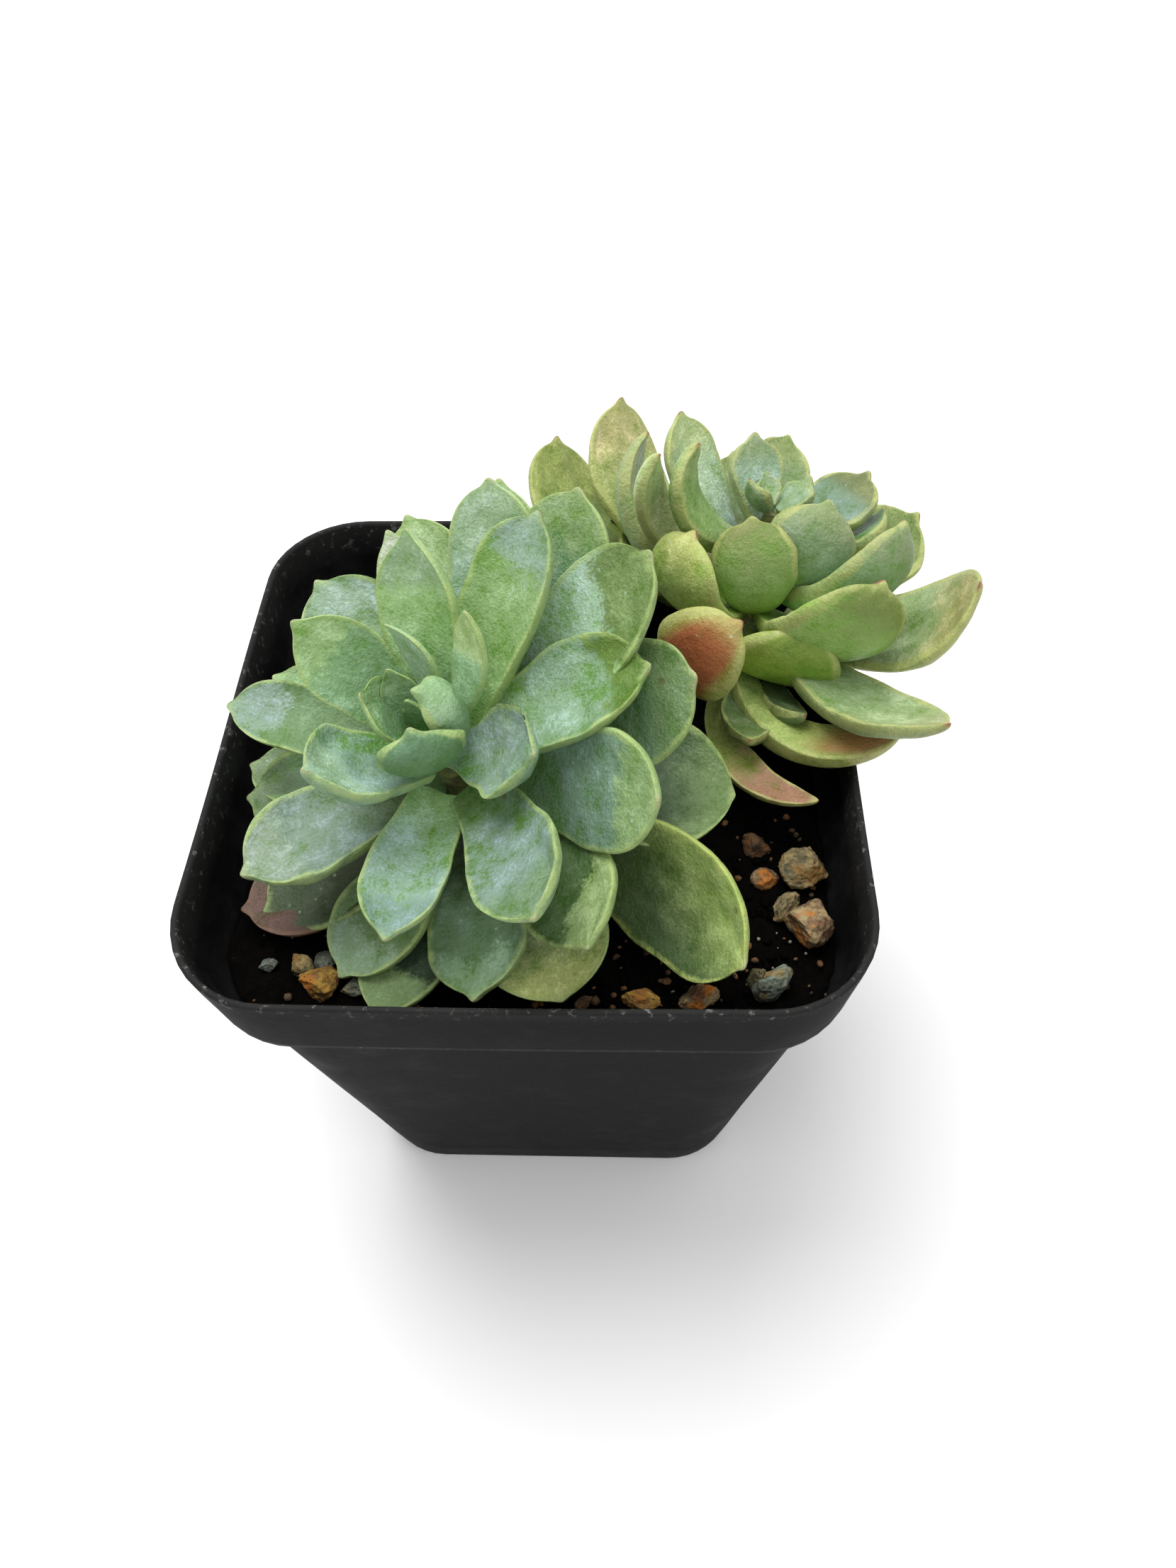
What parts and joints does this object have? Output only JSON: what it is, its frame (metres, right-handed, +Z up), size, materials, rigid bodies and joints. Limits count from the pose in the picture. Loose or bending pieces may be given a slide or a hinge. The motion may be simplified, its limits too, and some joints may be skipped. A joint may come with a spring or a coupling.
{
  "type": "potted succulent",
  "caption": "Rosette succulent with two crowns of plump pointed leaves growing in soil in a square tapered plastic nursery pot.",
  "frame": {"origin": "centre of the pot's flat underside", "axes": "+Z up, -Y towards the side with the larger rosette, +X to the side the smaller rosette overhangs"},
  "size_m": [0.1179, 0.1084, 0.1336],
  "materials": {
    "back_heart": "waxy leaf bloom",
    "back_leaf_01": "waxy leaf bloom",
    "back_leaf_02": "waxy leaf bloom",
    "back_leaf_03": "waxy leaf bloom",
    "back_leaf_04": "waxy leaf bloom",
    "back_leaf_05": "waxy leaf bloom",
    "back_leaf_06": "waxy leaf bloom",
    "back_leaf_07": "waxy leaf bloom",
    "back_leaf_08": "waxy leaf bloom",
    "back_leaf_09": "waxy leaf bloom",
    "back_leaf_10": "waxy leaf bloom",
    "back_leaf_11": "waxy leaf bloom",
    "back_leaf_12": "waxy leaf bloom",
    "back_leaf_13": "waxy leaf bloom",
    "back_leaf_14": "waxy leaf bloom",
    "back_leaf_15": "waxy leaf bloom",
    "back_leaf_16": "waxy leaf bloom",
    "back_leaf_17": "waxy leaf bloom",
    "back_leaf_18": "waxy leaf bloom",
    "back_leaf_19": "waxy leaf bloom",
    "back_leaf_20": "waxy leaf bloom",
    "back_leaf_21": "waxy leaf bloom",
    "back_leaf_22": "waxy leaf bloom",
    "woody_stem": "dry bark",
    "front_heart": "waxy leaf bloom",
    "front_leaf_01": "waxy leaf bloom",
    "front_leaf_02": "waxy leaf bloom",
    "front_leaf_03": "waxy leaf bloom",
    "front_leaf_04": "waxy leaf bloom",
    "front_leaf_05": "waxy leaf bloom",
    "front_leaf_06": "waxy leaf bloom",
    "front_leaf_07": "waxy leaf bloom",
    "front_leaf_08": "waxy leaf bloom",
    "front_leaf_09": "waxy leaf bloom",
    "front_leaf_10": "waxy leaf bloom",
    "front_leaf_11": "waxy leaf bloom",
    "front_leaf_12": "waxy leaf bloom",
    "front_leaf_13": "waxy leaf bloom",
    "front_leaf_14": "waxy leaf bloom",
    "front_leaf_15": "waxy leaf bloom",
    "front_leaf_16": "waxy leaf bloom",
    "front_leaf_17": "waxy leaf bloom",
    "front_leaf_18": "waxy leaf bloom",
    "front_leaf_19": "waxy leaf bloom",
    "front_leaf_20": "waxy leaf bloom",
    "front_leaf_21": "waxy leaf bloom",
    "front_leaf_22": "waxy leaf bloom",
    "front_leaf_23": "waxy leaf bloom",
    "front_leaf_24": "waxy leaf bloom",
    "front_leaf_25": "waxy leaf bloom",
    "front_leaf_26": "waxy leaf bloom",
    "front_leaf_27": "waxy leaf bloom",
    "front_leaf_28": "waxy leaf bloom",
    "front_leaf_29": "waxy leaf bloom",
    "front_leaf_30": "waxy leaf bloom",
    "black_plastic": "satin black, scuffed",
    "potting_soil": "rough, damp",
    "stone_rust": "rough stone",
    "stone_tan": "rough stone"
  },
  "bodies": {
    "root": {"back_heart": "back_heart", "back_leaf_01": "back_leaf_01", "back_leaf_02": "back_leaf_02", "back_leaf_03": "back_leaf_03", "back_leaf_04": "back_leaf_04", "back_leaf_05": "back_leaf_05", "back_leaf_06": "back_leaf_06", "back_leaf_07": "back_leaf_07", "back_leaf_08": "back_leaf_08", "back_leaf_09": "back_leaf_09", "back_leaf_10": "back_leaf_10", "back_leaf_11": "back_leaf_11", "back_leaf_12": "back_leaf_12", "back_leaf_13": "back_leaf_13", "back_leaf_14": "back_leaf_14", "back_leaf_15": "back_leaf_15", "back_leaf_16": "back_leaf_16", "back_leaf_17": "back_leaf_17", "back_leaf_18": "back_leaf_18", "back_leaf_19": "back_leaf_19", "back_leaf_20": "back_leaf_20", "back_leaf_21": "back_leaf_21", "back_leaf_22": "back_leaf_22", "back_stem": "woody_stem", "front_heart": "front_heart", "front_leaf_01": "front_leaf_01", "front_leaf_02": "front_leaf_02", "front_leaf_03": "front_leaf_03", "front_leaf_04": "front_leaf_04", "front_leaf_05": "front_leaf_05", "front_leaf_06": "front_leaf_06", "front_leaf_07": "front_leaf_07", "front_leaf_08": "front_leaf_08", "front_leaf_09": "front_leaf_09", "front_leaf_10": "front_leaf_10", "front_leaf_11": "front_leaf_11", "front_leaf_12": "front_leaf_12", "front_leaf_13": "front_leaf_13", "front_leaf_14": "front_leaf_14", "front_leaf_15": "front_leaf_15", "front_leaf_16": "front_leaf_16", "front_leaf_17": "front_leaf_17", "front_leaf_18": "front_leaf_18", "front_leaf_19": "front_leaf_19", "front_leaf_20": "front_leaf_20", "front_leaf_21": "front_leaf_21", "front_leaf_22": "front_leaf_22", "front_leaf_23": "front_leaf_23", "front_leaf_24": "front_leaf_24", "front_leaf_25": "front_leaf_25", "front_leaf_26": "front_leaf_26", "front_leaf_27": "front_leaf_27", "front_leaf_28": "front_leaf_28", "front_leaf_29": "front_leaf_29", "front_leaf_30": "front_leaf_30", "front_stem": "woody_stem", "pot": "black_plastic", "soil": "potting_soil", "stone_rust": "stone_rust", "stone_tan": "stone_tan"}
  },
  "joints": []
}
